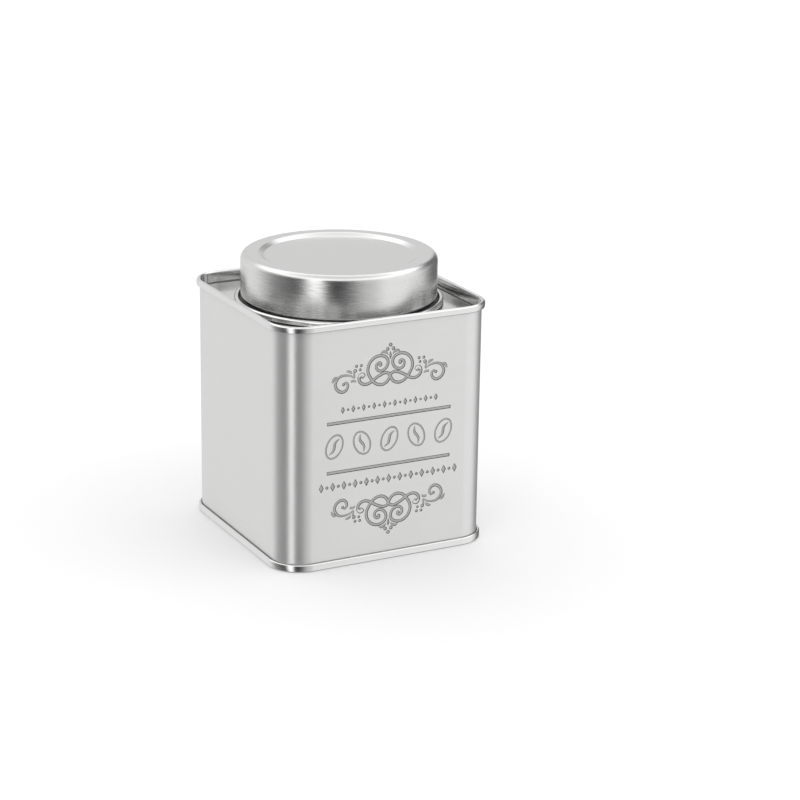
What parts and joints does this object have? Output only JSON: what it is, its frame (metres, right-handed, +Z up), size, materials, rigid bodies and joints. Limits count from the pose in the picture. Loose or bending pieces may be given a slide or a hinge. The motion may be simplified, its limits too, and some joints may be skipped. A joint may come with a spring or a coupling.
{
  "type": "coffee tin",
  "caption": "Square sheet-steel coffee tin with rounded corners, double-seamed rims, a recessed top panel and a round slip-on lid over a neck.",
  "frame": {"origin": "centre of the base, on the surface the tin stands on", "axes": "+Z up along the height, -Y towards the decorated face, +Y towards the wall with the lock seam"},
  "size_m": [0.103, 0.103, 0.1266],
  "materials": {
    "body_steel": "satin",
    "panel_steel": "satin",
    "neck_steel": "satin",
    "lid_steel": "satin",
    "seal_rubber": "matt",
    "seam_compound": "matt"
  },
  "bodies": {
    "tin": {"body_shell": "body_steel", "top_panel": "panel_steel", "base_panel": "panel_steel", "neck_ring": "neck_steel", "top_seam_compound": "seam_compound", "base_seam_compound": "seam_compound"},
    "lid": {"lid_shell": "lid_steel", "lid_seal": "seal_rubber"}
  },
  "joints": [
    {"name": "lid_lift", "type": "slide", "parent": "tin", "child": "lid", "axis": [0, 0, 1], "range_m": [0, 0.08]}
  ]
}
